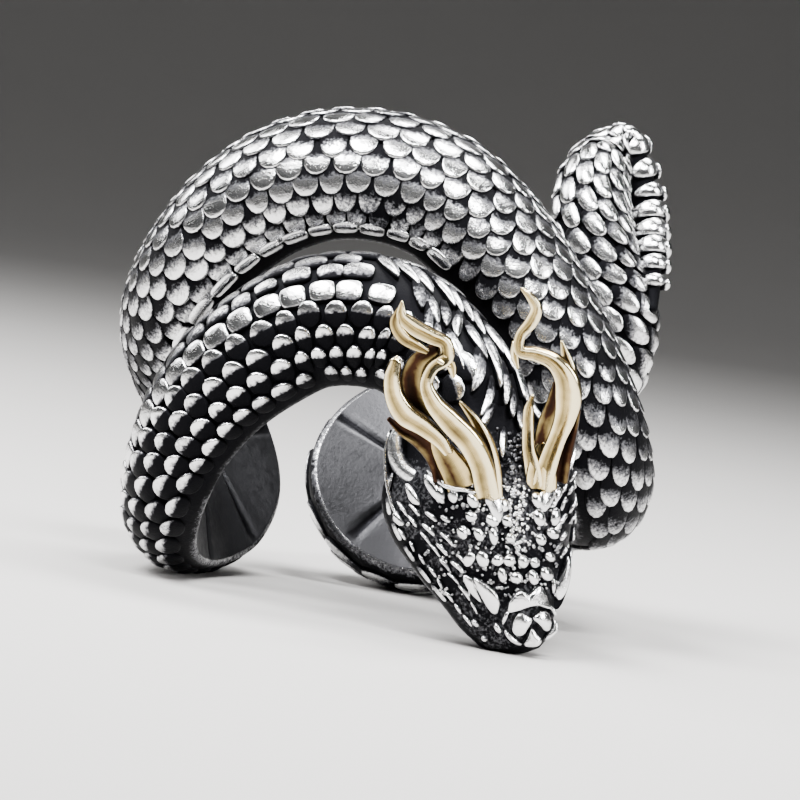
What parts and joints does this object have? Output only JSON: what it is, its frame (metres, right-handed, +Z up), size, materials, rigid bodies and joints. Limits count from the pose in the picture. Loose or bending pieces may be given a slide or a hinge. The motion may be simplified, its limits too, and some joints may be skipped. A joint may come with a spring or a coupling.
{
  "type": "snake ring",
  "caption": "Open adjustable snake ring in oxidised silver: one scaly body in two bands with folded palm-side bends, a horned head, pale gold flame horns and a raised curled tail.",
  "frame": {"origin": "on the surface the ring lies on, under the middle of its box", "axes": "+Z up from the surface, -Y towards the snake's head and the viewer, +X to the viewer's right"},
  "size_m": [0.0282, 0.0352, 0.026],
  "materials": {
    "oxidised_silver": "cast silver, polished scales over black oxidised grooves, satin grey belly",
    "pale_gold": "polished pale yellow gold with dark lines in its grooves"
  },
  "bodies": {
    "root": {"snake_band": "oxidised_silver", "left_flame_horn": "pale_gold", "right_flame_horn": "pale_gold"}
  },
  "joints": []
}
